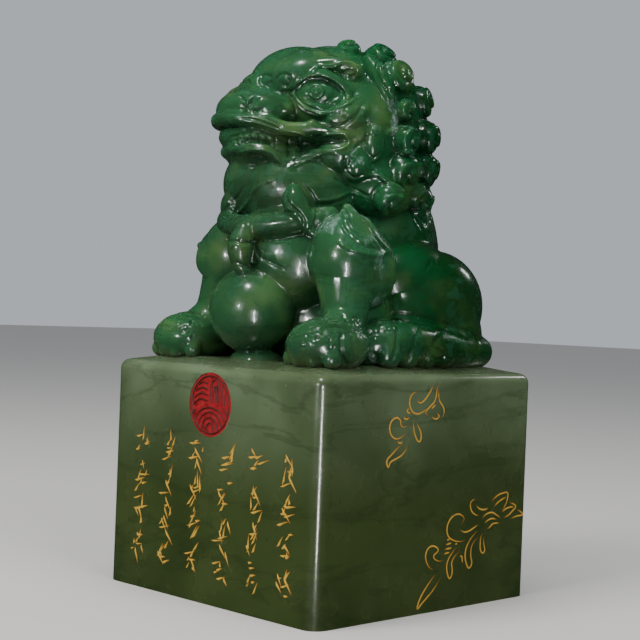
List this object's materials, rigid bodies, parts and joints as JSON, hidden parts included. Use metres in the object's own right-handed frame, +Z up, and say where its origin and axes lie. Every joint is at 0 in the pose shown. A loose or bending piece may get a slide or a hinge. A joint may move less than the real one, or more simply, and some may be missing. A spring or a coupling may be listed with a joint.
{
  "type": "stone seal with a carved guardian lion",
  "caption": "Square jade seal block with a seated guardian lion and ball carved on top, rows of small gilt marks and a sunk red round mark.",
  "frame": {"origin": "centre of the seal block's underside, on the surface that it stands on", "axes": "+Z up from the block to the lion; -Y is the inscription face, which the lion's body faces; +X is the lion's left side"},
  "size_m": [0.072, 0.072, 0.1318],
  "materials": {
    "jade": "polished, slightly translucent green stone"
  },
  "bodies": {
    "root": {"lion_seal": "jade"}
  },
  "joints": []
}
